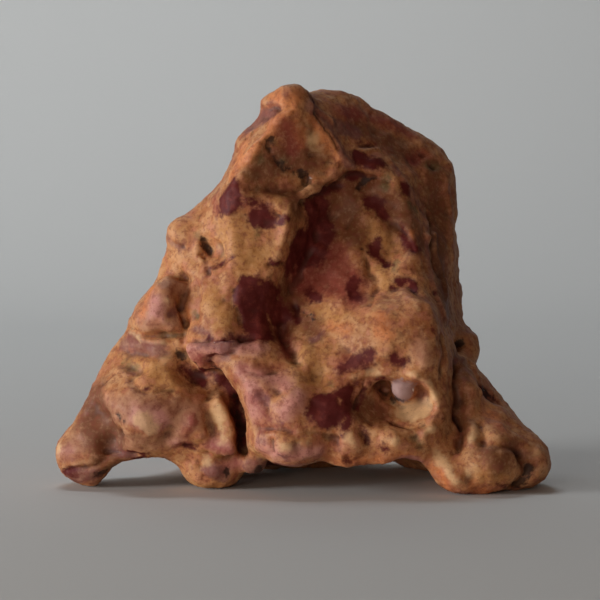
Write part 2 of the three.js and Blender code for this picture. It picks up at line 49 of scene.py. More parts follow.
# Skin: width of a mesh cell while the deep places are carved, and in the end
ROUGH_CELL = 0.5 * MM
FINE_CELL = 0.45 * MM
TOUCHING = 0.0001 * MM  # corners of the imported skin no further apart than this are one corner

# Places: height in mm (below zero it is cut in), half width of the line in mm, its points
CARVING = {
    # the peak and the block under it
    "apex neck": (-0.7, 0.4, [(-6.6, 61.9), (-5.2, 62.5), (-3.8, 62)]),
    "apex bead": (1.3, 1.1, [(-5.8, 62.8)]),
    "apex top": (1.7, 2.2, [(-2.8, 64.2), (-0.8, 64.4)]),
    "facet dish": (-0.5, 0.9, [(-8.3, 59.3), (-4.7, 61.6)]),
    "facet pit": (-0.5, 0.25, [(-8.2, 58)]),
    "facet pore": (-0.4, 0.2, [(-9.3, 57.2)]),
    "left ridge": (0.7, 0.5, [(-1, 62.4), (-3.8, 60.3), (-6.4, 57.2), (-9.2, 54.2), (-11.6, 51.2)]),
    "ridge foot": (-0.7, 0.35, [(-5.3, 57), (-5.5, 56), (-5, 55.1)]),
    "block crack": (-1.0, 0.25, [(-4.9, 54.1), (-3.9, 53.5), (-2.4, 52.3), (-0.5, 52), (0.7, 51.1)]),
    "crack pit": (-0.9, 0.4, [(-4, 53.5)]),
    "speck pit": (-0.7, 0.4, [(0.9, 50.9), (0.9, 50)]),
    "block step": (-0.4, 0.3, [(1, 54.3), (2.4, 54.6)]),
    "block line": (-0.35, 0.25, [(2.2, 53.5), (4.5, 53.4)]),
    "right ridge": (0.8, 0.5, [(0.8, 62.4), (3.3, 59), (5.6, 55.8), (7.8, 52.8)]),
    "right groove": (-0.7, 0.35, [(2.1, 61.5), (3.2, 59.9), (5, 57.3), (6, 55.6)]),
    "right band": (0.4, 0.35, [(1.3, 62.8), (3, 61.4), (4.6, 60.1)]),
    "block hem": (0.7, 0.6, [(0.2, 48.3), (3.2, 49), (6.4, 51.6)]),
    "block under": (-2.0, 1.1, [(0.6, 46.8), (3.4, 47.6), (6, 49.6)]),
    "patch line": (-0.4, 0.3, [(-10, 47.3), (-6.6, 46.8), (-3.5, 44.8)]),
    # the right wall
    "wall ledge": (-0.3, 0.3, [(9.2, 55.9), (11.8, 55.8)]),
    "ledge lip": (0.4, 0.3, [(9.4, 55.2), (12.8, 55.2)]),
    "knuckle": (0.3, 1.4, [(9.3, 53.8), (12.4, 53.3)]),
    "knuckle foot": (-1.2, 0.8, [(7.6, 51.2), (10, 51), (13.8, 50.2)]),
    "knuckle groove": (-1.0, 0.4, [(9.5, 48.8), (10.4, 50), (11.8, 50.6)]),
    "wall dent": (-0.8, 0.9, [(18.5, 53.3), (20.3, 54.6)]),
    "wall dip": (-0.6, 0.8, [(21.8, 52.6)]),
    "strand": (0.4, 0.45, [(14.4, 53.6), (16.8, 50), (18.6, 47.8), (20.2, 45.5), (20.6, 41)]),
    "strand foot": (0.7, 0.45, [(20.6, 41), (20.7, 37), (21.3, 33.5), (23.2, 28), (24.6, 26.4)]),
    "outer groove": (-0.8, 0.45, [(21.3, 44), (21.5, 39.5), (21.9, 36), (22.6, 34.4)]),
    "wall swell": (1.2, 2.6, [(23.6, 50), (24.2, 44), (24.4, 38)]),
    "outer strand": (0.7, 0.4, [(22, 41), (22.3, 37.4), (23.2, 35.2), (23.8, 31)]),
    # the slope right of the valley
    "slope crease": (-0.8, 0.3, [(8.9, 44.6), (8, 43.2), (7.2, 42)]),
    "slope swell": (0.5, 1.4, [(10.5, 44), (13, 41)]),
    "slope dip": (-0.5, 0.6, [(15.2, 43.3), (17, 41.4), (18.2, 39.2)]),
    "slope pit": (-0.6, 0.3, [(9.9, 39)]),
    "slope ridge": (0.3, 0.5, [(2.5, 45), (6, 46.8)]),
    "vein": (-0.4, 0.35, [(10.5, 37.4), (11, 35.4), (11.9, 32.8), (11.7, 31.6), (11, 30.7)]),
    "vein bank": (0.2, 0.7, [(8, 38.2), (9.4, 36), (10.8, 33)]),
    "slope foot": (-0.5, 0.7, [(14.4, 32.6), (17, 33.4), (19, 32.4)]),
    # the buttress and its pit
    "rim crease": (-0.5, 0.35, [(-21.9, 41), (-21.2, 40.2), (-19.6, 39.6)]),
    "pit": (-1.6, 0.5, [(-16.3, 40.6), (-15.8, 39.5), (-15.3, 38.4)]),
    "pit bowl": (-0.8, 1.3, [(-14.4, 39.8), (-13.6, 38.8)]),
    "pit rim": (0.5, 0.35, [(-14, 41.2), (-12.6, 40.2), (-12.3, 38.6)]),
    "pit lip": (-0.8, 0.4, [(-14.4, 36.5), (-13, 37), (-11.4, 37.7)]),
    "pit fold": (-0.6, 0.3, [(-16.5, 38.6), (-15.7, 36.8), (-15.2, 35.4)]),
    "pit brow": (0.5, 0.4, [(-17, 40.8), (-16.9, 38.6), (-16.2, 36.6)]),
    "buttress crease": (-0.5, 0.35, [(-16.2, 43), (-16.6, 41.8)]),
    "red line": (-0.4, 0.3, [(-5.4, 37), (-3.2, 36.4)]),
    "column crease": (-0.8, 0.45, [(-17.4, 35), (-17.2, 33), (-16.7, 31), (-17, 28.4)]),
    "column bank": (0.5, 0.6, [(-18.4, 33.6), (-18.5, 30.4)]),
    "column dent": (-0.4, 0.5, [(-12.3, 30.9)]),
    "great edge": (-0.5, 0.5, [(-10.8, 33), (-11.2, 31), (-9.7, 27.5)]),
    # the crown and belt of the left lobe
    "crown cleft": (-1.8, 0.6, [(-20.5, 35.4), (-19.1, 33.6), (-19.4, 30.8), (-18.9, 27.6)]),
    "crown root": (-1.4, 0.5, [(-18.9, 27.2), (-19.5, 25.4), (-19.6, 22.6)]),
    "crown arch": (-1.3, 0.5, [(-24.6, 32.9), (-22.6, 35), (-20.4, 35.8), (-18.9, 34)]),
    "crown top": (0.8, 1.2, [(-22.6, 32.2), (-21.2, 33.4)]),
    "crown dent": (-0.5, 0.9, [(-20.6, 33.6), (-20.6, 31.8)]),
    "crown bead": (0.6, 1.1, [(-23.8, 29.2)]),
    "crown fold": (-0.4, 0.5, [(-21.8, 29.2), (-20, 29.4)]),
    "crown ledge": (0.5, 0.8, [(-22.4, 27.4), (-20.4, 27.4)]),
    "crown pocket": (-1.0, 0.45, [(-22.8, 25.4), (-21.3, 25.3), (-19.9, 25.4)]),
    "belt": (-0.9, 0.45, [(-28.6, 25.9), (-25.6, 25.5), (-22.8, 25.4)]),
    "belt line": (0.6, 0.4, [(-28.2, 25.3), (-26.5, 24.7), (-24, 24.4), (-22.6, 24.5)]),
    "belt fold": (-0.8, 0.5, [(-29.4, 22.2), (-26, 21.9), (-22, 22)]),
    # the left lobe
    "saddle": (-1.0, 0.9, [(-28.7, 20), (-26.8, 19.6)]),
    "saddle hem": (-0.6, 0.6, [(-28, 18.5), (-26.2, 17), (-23.5, 16.4), (-21, 16.9)]),
    "saddle bead": (0.5, 1.0, [(-24, 20.4), (-21.8, 20.8)]),
    "saddle knob": (0.5, 0.9, [(-21.4, 18.2)]),
    "lobe rim": (-0.4, 0.4, [(-32.8, 17.3), (-30.6, 19)]),
    "lobe hollow": (-2.6, 2.1, [(-34.4, 13), (-32.8, 11), (-31.4, 8)]),
    "lobe pore": (-0.8, 0.3, [(-29.5, 12.8), (-29, 12)]),
    "lobe swell": (1.3, 2.4, [(-26.6, 13.8), (-25.6, 11.8)]),
    "lobe folds": (-0.5, 0.6, [(-29.3, 11), (-29.5, 9.4)]),
    "lobe furrow": (-0.8, 0.8, [(-21.5, 11), (-22.2, 9)]),
    "heel": (0.8, 0.9, [(-17.9, 12.2), (-18.8, 9.8)]),
    "heel bead": (0.5, 0.8, [(-20.4, 8.4)]),
    "heel crease": (-1.0, 0.45, [(-19.2, 7.4), (-17.7, 7), (-16.1, 8.3)]),
    "shelf": (0.7, 1.0, [(-14.4, 7.4), (-12.2, 7)]),
    "shelf under": (-0.9, 0.4, [(-15.8, 6.5), (-14, 6.1), (-11, 5.7), (-10, 6.3)]),
    "tip fold": (-0.7, 0.5, [(-38.6, 2.8), (-36.8, 3.3), (-34.4, 3.8), (-32, 4.7)]),
    "tip bead": (0.8, 1.6, [(-39.4, 6.8)]),
    "tip pit": (-1.0, 0.5, [(-33.6, 2.3), (-32.5, 2.9)]),
    "lobe under": (-0.6, 0.6, [(-31.4, 6.2), (-29, 6.2), (-27.3, 6)]),
    "foot groove": (-0.9, 0.4, [(-16.6, 4.4), (-15.6, 2.6), (-15.1, 1.6)]),
    "foot pore": (-0.9, 0.35, [(-12, 3.2)]),
    "foot swell": (0.4, 0.9, [(-13.8, 3.6)]),
    "foot bead": (0.4, 0.8, [(-15.3, 5.2)]),
    # the cleft and the lip
    "cleft": (-3.0, 0.75, [(-13.4, 18.6), (-11.5, 16.4), (-10.3, 13.6), (-9.9, 11)]),
    "cleft foot": (-3.0, 0.65, [(-9.9, 11), (-9.7, 9), (-9.6, 6.8)]),
    "cleft arm": (-2.4, 1.2, [(-20.1, 22.2), (-19, 20.4), (-17.4, 18.5), (-14.4, 18.6)]),
    "cleft top": (-1.4, 0.45, [(-14.8, 20.7), (-13.4, 19.8)]),
    "cleft strand": (0.7, 0.5, [(-16.3, 20.8), (-15.6, 19)]),
    "lip crease": (-0.9, 0.4, [(-15, 25.2), (-13.4, 25), (-10, 25), (-7.4, 25.1)]),
    "lip fold": (-0.9, 0.5, [(-15, 21.6), (-13.2, 22.4), (-11, 23.2)]),
    "lip swell": (0.5, 1.2, [(-18, 23.4), (-16, 23)]),
    "lip shelf": (0.4, 0.8, [(-12.4, 24.2), (-7, 24.1)]),
    "lip line": (-0.5, 0.35, [(-18.3, 24.6), (-16.3, 24.4), (-15, 24.8)]),
    "lip dent": (-0.4, 0.5, [(-17.4, 22.6), (-15.6, 22.4)]),
    "lip ridge": (0.4, 0.4, [(-14, 24.2), (-10.4, 24.8)]),
    # the dome
    "dome root": (-1.2, 0.9, [(-3.4, 26.4), (-2.4, 23.8), (-1, 21.6)]),
    "dome gully": (-0.9, 0.8, [(-1.2, 29.8), (-0.8, 27.4)]),
    "dome crack": (-0.4, 0.25, [(0.2, 29), (1.6, 28.5)]),
    "dome dip": (-0.3, 0.9, [(5, 24.2), (7.4, 23.4)]),
    "dome bead": (0.5, 1.3, [(1.6, 22.8)]),
    "dome swell": (0.5, 1.8, [(13.5, 25.6)]),
    "dome right": (1.8, 2.4, [(19.4, 29.6), (20.2, 26), (20, 22.4)]),
    "shin": (0.5, 1.0, [(19.4, 24), (19.8, 21.4)]),
    "shin groove": (-0.7, 0.8, [(22.6, 25.4), (22.9, 22.8), (22.6, 20)]),
    # the belly
    "belly hem": (1.0, 1.2, [(5, 5.6), (9, 5.6), (13, 6.2)]),
    "belly band": (-0.4, 0.4, [(-9.5, 20.2), (-7, 20.1), (-4.4, 19.8)]),
    "belly streak": (-0.4, 0.35, [(-6.2, 15), (-5.6, 14.2), (-4.2, 12.2)]),
    "belly dip": (-0.4, 0.6, [(-7, 16.4)]),
    "belly dent": (-0.4, 0.7, [(-4.6, 17)]),
    "belly swell": (0.5, 1.4, [(-7.8, 14)]),
    "belly ball": (0.5, 1.8, [(-1.4, 15)]),
    "belly crease": (-0.45, 0.4, [(-7.2, 11.2), (-3, 11.2), (-0.3, 10.2), (1.8, 10.3), (5.8, 9.8)]),
    "bead one": (0.6, 1.0, [(-6.6, 8.6)]),
    "bead two": (0.7, 1.0, [(-2.9, 8.4)]),
    "bead three": (0.6, 1.1, [(2.3, 7.8)]),
    "bead four": (0.7, 1.1, [(8, 9)]),
    "bead five": (0.7, 1.1, [(14.6, 9)]),
    "gap one": (-0.7, 0.4, [(-4.9, 9.4), (-4.8, 7.2)]),
    "gap two": (-0.9, 0.5, [(-0.9, 9), (-0.3, 7.8)]),
    "gap three": (-0.8, 0.5, [(5.6, 9.4), (6, 7.8)]),
    "gap four": (-1.0, 0.5, [(9.5, 11.2), (10, 10), (10.3, 8.8)]),
    "gap five": (-0.9, 0.5, [(12.3, 9.9)]),
    "gap six": (-1.0, 0.6, [(17.8, 9.5), (18.6, 8.2)]),
    "toe top": (-0.9, 0.5, [(17.2, 7.4), (19, 7.4), (20.6, 7.8)]),
    "crescent": (-0.4, 0.3, [(7.4, 6.4), (8, 5.6), (9.6, 6.6)]),
    # the eye
    "eye pocket": (-1.8, 0.8, [(12.2, 17), (13.4, 16.6)]),
    "eye slit": (-1.0, 0.35, [(13.6, 16.1), (15.2, 15.1), (17.2, 15.2)]),
    "pearl ditch": (-0.9, 0.5, [(13.2, 17.6), (13.6, 15.6), (15.4, 14.4)]),
    "eye stripe": (-0.5, 0.4, [(9.7, 17.5), (8.8, 15.4), (8.5, 14.2)]),
    "eye brow": (0.5, 0.6, [(7.6, 19), (11.2, 19.4), (14, 19.8)]),
    "eye rim": (0.9, 0.35, [(18, 19.8), (19.8, 18.3), (21.2, 16.8), (22, 15)]),
    "rim ditch": (-0.8, 0.35, [(18.3, 18.6), (20, 16.7)]),
    "eye lid": (0.6, 0.5, [(19.2, 10.3), (20.8, 10.8)]),
    "lid fold": (-0.6, 0.4, [(14, 12), (17, 11.1), (20, 11.6)]),
    "rim bead": (0.5, 0.4, [(21.4, 13)]),
    "rim dot": (0.5, 0.4, [(22.5, 12.5)]),
    # the right foot
    "knob pit": (-2.0, 0.9, [(25.5, 23), (26.6, 23)]),
    "knob ledge": (0.5, 0.4, [(25.3, 21.2), (27, 20.8), (28, 19.8)]),
    "knob strand": (0.5, 0.4, [(28.1, 19.4), (28.9, 17.6), (29.2, 15.6)]),
    "foot cleft": (-1.8, 0.7, [(25.2, 20.4), (25.6, 15.6), (25.5, 12)]),
    "foot slit": (-1.8, 0.5, [(25.5, 12), (25.5, 9.6), (25.2, 7.2)]),
    "fin": (0.8, 0.8, [(27.5, 11), (27.6, 8.6)]),
    "fin groove": (-1.0, 0.5, [(28.6, 11.4), (29, 9.6), (29, 8)]),
    "leaf": (-0.8, 0.7, [(29.4, 16.6), (30.8, 15), (32.2, 13.9)]),
    "leaf edge": (0.4, 0.3, [(31, 13.7), (32.6, 13.1)]),
    "foot bump": (0.6, 1.0, [(32, 10.9)]),
    "bump groove": (-1.0, 0.7, [(29, 8.9), (31, 8.6), (33.5, 8.3), (35.3, 7.3)]),
    "tip groove": (-1.4, 0.8, [(35.3, 7.3), (36.8, 5.2), (36, 2.3), (34.2, 0.7)]),
    "tip swell": (0.4, 0.9, [(38.2, 6.8)]),
    "foot knob": (0.4, 1.8, [(31, 4.8)]),
    "toe groove": (-0.8, 0.4, [(26, 3.7), (27.4, 2.4), (28.3, 0.8)]),
    "toe swell": (0.5, 0.9, [(22.4, 5.6), (24.2, 3.2)]),
}

# Worn flats: outline as (x, z), three points of the plane as (x, y, z), width of its soft edge.
# The planes of CUTS only take stone away, those of FLATS fill hollows too.
CUTS = {
    "buttress": (
        [(-13.4, 45), (-10, 47.4), (-2, 47.4), (0, 42), (-2, 36), (-9, 33.6), (-13.6, 36.4)],
        [(-12, -14.5, 42), (-3, -13.4, 42), (-8, -14.9, 36)], 4,
    ),
    "flank": (
        [(-3, 47.6), (1.6, 47.8), (3, 44), (2.4, 38), (-1, 31.4), (-5, 30), (-6, 33)],
        [(-2, -14, 44), (2.6, -7.4, 44), (-5.2, -14.8, 33)], 1.2,
    ),
    "slope": (
        [(5, 52), (10, 53), (18, 47), (18.4, 38), (14, 34.6), (8, 38)],
        [(6, -7.4, 44), (18, -5.2, 44), (13, -8.8, 36)], 3.5,
    ),
}
FLATS = {
    "block": (
        [(-3.2, 61.3), (0, 62), (3.4, 59), (6.9, 53.2), (0, 47.9), (-9.3, 47.9), (-12, 50.8)],
        [(-12, -14.8, 50.8), (-3.2, -11.8, 61.3), (6.9, -7.8, 53.2)], 0.9,
    ),
    "strip": (
        [(-15.8, 15), (-13.2, 16.2), (-11, 13.4), (-10.4, 9.6), (-10.4, 5.4), (-15, 5.2), (-16, 10)],
        [(-15, -16.7, 12), (-12, -17.8, 12), (-13, -17, 6)], 0.9,
    ),
}

# The eye: a bowl sunk into a plane, and the pearl-like ball of chalcedony under its brow
EYE_PLANE = [(6.8, -22.2, 15), (22.4, -20.2, 15), (14.6, -20.3, 19.2)]
EYE_MIDDLE = (14.6, 15)
EYE_HALF = (7.9, 4.2)
EYE_DEPTH = 3.9
EYE_RIM = 6  # how steeply the bowl starts at its rim
PEARL_MIDDLE = (16.1, -17.1, 16.7)
PEARL_RADIUS = 2.4
PEARL_BACK = 4  # mm behind its middle, up to which the skin is drawn out over it

SHAPE_REACH = 8  # most mm that a point of the skin moves as the face is shaped

# How far a straight line between two points of the lists is made to wind, and over what length
WANDER = 0.7
WANDER_LENGTH = 3.2
noise.seed_set(5)  # so that the lines wind the same way each time


def meshed(name, mesh, cell):
    """A new object whose surface is mesh's, remade of even cells."""
    piece = bpy.data.objects.new(name, mesh)
    bpy.context.scene.collection.objects.link(piece)
    remesh = piece.modifiers.new("cells", "REMESH")
    remesh.mode = "VOXEL"
    remesh.voxel_size = cell
    remesh.use_smooth_shade = True
    ease = piece.modifiers.new("ease", "SMOOTH")
    ease.factor = 0.5
    ease.iterations = 3
    evaluated = piece.evaluated_get(bpy.context.evaluated_depsgraph_get())
    remade = bpy.data.meshes.new_from_object(evaluated)
    piece.modifiers.clear()
    piece.data = remade
    return piece


def rounded(node):
    """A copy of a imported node's mesh, its corners merged and its facets rounded off."""
    shape = bmesh.new()
    shape.from_mesh(node.data)
    bmesh.ops.remove_doubles(shape, verts=shape.verts, dist=TOUCHING)
    mesh = bpy.data.meshes.new("rounded")
    shape.to_mesh(mesh)
    shape.free()
    piece = bpy.data.objects.new("rounded", mesh)
    bpy.context.scene.collection.objects.link(piece)
    smooth = piece.modifiers.new("round", "SUBSURF")
    smooth.levels = smooth.render_levels = 2
    evaluated = piece.evaluated_get(bpy.context.evaluated_depsgraph_get())
    mesh = bpy.data.meshes.new_from_object(evaluated)
    bpy.data.objects.remove(piece)
    return mesh


def points_of(mesh):
    """Places and outward directions of a mesh's points, the places in mm."""
    places = np.empty(len(mesh.vertices) * 3)
    mesh.vertices.foreach_get("co", places)
    normals = np.empty(len(mesh.vertices) * 3)
    mesh.vertex_normals.foreach_get("vector", normals)
    return places.reshape(-1, 3) / MM, normals.reshape(-1, 3)


def move_points(mesh, places):
    """Puts a mesh's points at the places, none of them under the table's top."""
    places[:, 2] = np.maximum(places[:, 2], 0)
    mesh.vertices.foreach_set("co", (places * MM).ravel())
    mesh.update()


def wandered(places):
    """The places, each moved a little by noise, so that a straight line on them winds."""
    moves = [noise.noise_vector(Vector(p) / WANDER_LENGTH) for p in places]
    return places + np.array(moves) * WANDER


class Face:
    """The stone as seen along Y: lays places given as (x, z) onto its skin."""

    STEP = 0.35  # mm between the spots that stand for a line
    FRONT = -60  # mm along Y, from where the skin is looked for

    def __init__(self, mesh):
        places, _ = points_of(mesh)
        self.tree = BVHTree.FromPolygons(places.tolist(), [p.vertices[:] for p in mesh.polygons])

    def lay(self, line):
        """The line as spots on the skin."""
        spots = []
        for start, end in zip(line, line[1:] or line):
            steps = max(1, math.ceil(math.dist(start, end) / self.STEP))
            for k in range(steps + 1):
                x, z = (a + (b - a) * k / steps for a, b in zip(start, end))
                hit = self.tree.ray_cast(Vector((x, self.FRONT, z)), Vector((0, 1, 0)))[0]
                if hit:
                    spots.append(hit)
        return np.array(spots)


def gaps(places, spots, limit):
    """Which places lie within a limit of the spots, in mm, and how far each is."""
    low, high = spots.min(0) - limit, spots.max(0) + limit
    near = np.nonzero(((places > low) & (places < high)).all(1))[0]
    return near, np.linalg.norm(places[near, None] - spots[None], axis=2).min(1)


def plane_depth(places, three):
    """Where a plane through three points lies along Y, at each place's x and z."""
    a, b, c = (np.array(point) for point in three)
    across = np.cross(b - a, c - a)
    return a[1] - ((places[:, [0, 2]] - a[[0, 2]]) @ across[[0, 2]]) / across[1]


def inset(places, outline):
    """How far each place lies inside an outline seen along Y. The outline has no hollow corner."""
    corners = np.array(outline)
    middle = corners.mean(0)
    least = np.full(len(places), np.inf)
    for start, end in zip(corners, np.roll(corners, -1, axis=0)):
        across = np.array([start[1] - end[1], end[0] - start[0]]) / math.dist(start, end)
        if (middle - start) @ across < 0:
            across = -across
        least = np.minimum(least, (places[:, [0, 2]] - start) @ across)
    return least


def eased(share):
    """0 below 0, 1 above 1, and smooth between."""
    share = np.clip(share, 0, 1)
    return share * share * (3 - 2 * share)


def shape_face(mesh):
    """Lays the flats, sinks the eye and sets the pearl in it, on the skin that faces the front."""
    places, _ = points_of(mesh)
    winding = wandered(places)
    for name, (outline, plane, edge) in (CUTS | FLATS).items():
        move = plane_depth(places, plane) - places[:, 1]
        share = eased(inset(winding, outline) / edge) * (abs(move) < SHAPE_REACH)
        places[:, 1] += share * (np.maximum(move, 0) if name in CUTS else move)
    reach = np.linalg.norm((winding[:, [0, 2]] - EYE_MIDDLE) / EYE_HALF, axis=1)
    depth = plane_depth(places, EYE_PLANE) + EYE_DEPTH * (1 - reach ** 2)
    share = eased((1 - reach) * EYE_RIM) * (abs(places[:, 1] - depth) < SHAPE_REACH)
    places[:, 1] += share * (depth - places[:, 1])
    x, y, z = PEARL_MIDDLE
    bulge = PEARL_RADIUS ** 2 - (places[:, 0] - x) ** 2 - (places[:, 2] - z) ** 2
    front = (bulge > 0) & (places[:, 1] < y + PEARL_BACK)
    places[front, 1] = np.minimum(places[front, 1], y - np.sqrt(bulge[front]))
    move_points(mesh, places)


# Across a carved line, in half widths: where a raised one meets the skin, where a cut one is down
# to about a third of its depth, and where both have ended. Then how sharp the crest is and how
# steep the bank.
CREST_FOOT = 2.2
CUT_BANK = 1.15
LINE_END = 3
CREST_POWER = 1.3
BANK_POWER = 2.4


def carve(mesh, lines, face):
    """Raises and cuts the skin along lines, each with its height and half width."""
    places, normals = points_of(mesh)
    winding = wandered(places)
    height = np.zeros(len(places))
    for amount, width, line in lines:
        near, gap = gaps(winding, face.lay(line), LINE_END * width)
        crest = np.clip(1 - gap / (CREST_FOOT * width), 0, 1) ** CREST_POWER
        cut = np.exp(-(gap / (CUT_BANK * width)) ** BANK_POWER)
        height[near] += amount * (crest if amount > 0 else cut)
    move_points(mesh, places + normals * height[:, None])


# Waves: how far apart two seeds are, how fast the finer octaves fade, how much finer each is
SEED_STRIDE = (17.3, 5.1, 9.7)
OCTAVE_FADE = 0.6
OCTAVE_STEP = 2.0


def waves(places, size, seed, octaves=2):
    """Noise of one size in mm at every place."""
    shift = Vector([seed * stride for stride in SEED_STRIDE])
    return np.array([
        noise.fractal(Vector(p) / size + shift, OCTAVE_FADE, OCTAVE_STEP, octaves) for p in places
    ])


DEEP = 0.8  # what is cut or raised by this many mm comes before the skin gets its final cells
rough = meshed("rough", rounded(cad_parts["agate"]), ROUGH_CELL)
shape_face(rough.data)
carve(rough.data, [c for c in CARVING.values() if abs(c[0]) >= DEEP], Face(rough.data))
agate = meshed("agate_stone", rough.data, FINE_CELL)
bpy.data.objects.remove(rough)
carve(agate.data, [c for c in CARVING.values() if abs(c[0]) < DEEP], Face(agate.data))

# The grain of the whole skin, softer on the worn show face than behind:
# size in mm, height in mm on the show face, how much is added to it behind, seed
GRAIN = [
    (5, 0.12, 0.22, 1),
    (2.1, 0.16, 0.04, 2),
    (0.95, 0.1, 0.02, 3),
]
SHOW_FACE_END = -4  # mm along Y
BEHIND_START = 6  # mm along Y

places, normals = points_of(agate.data)
behind = np.clip((places[:, 1] - SHOW_FACE_END) / (BEHIND_START - SHOW_FACE_END), 0, 1)
grain = sum((front + more * behind) * waves(places, size, seed) for size, front, more, seed in GRAIN)
move_points(agate.data, places + normals * grain[:, None])
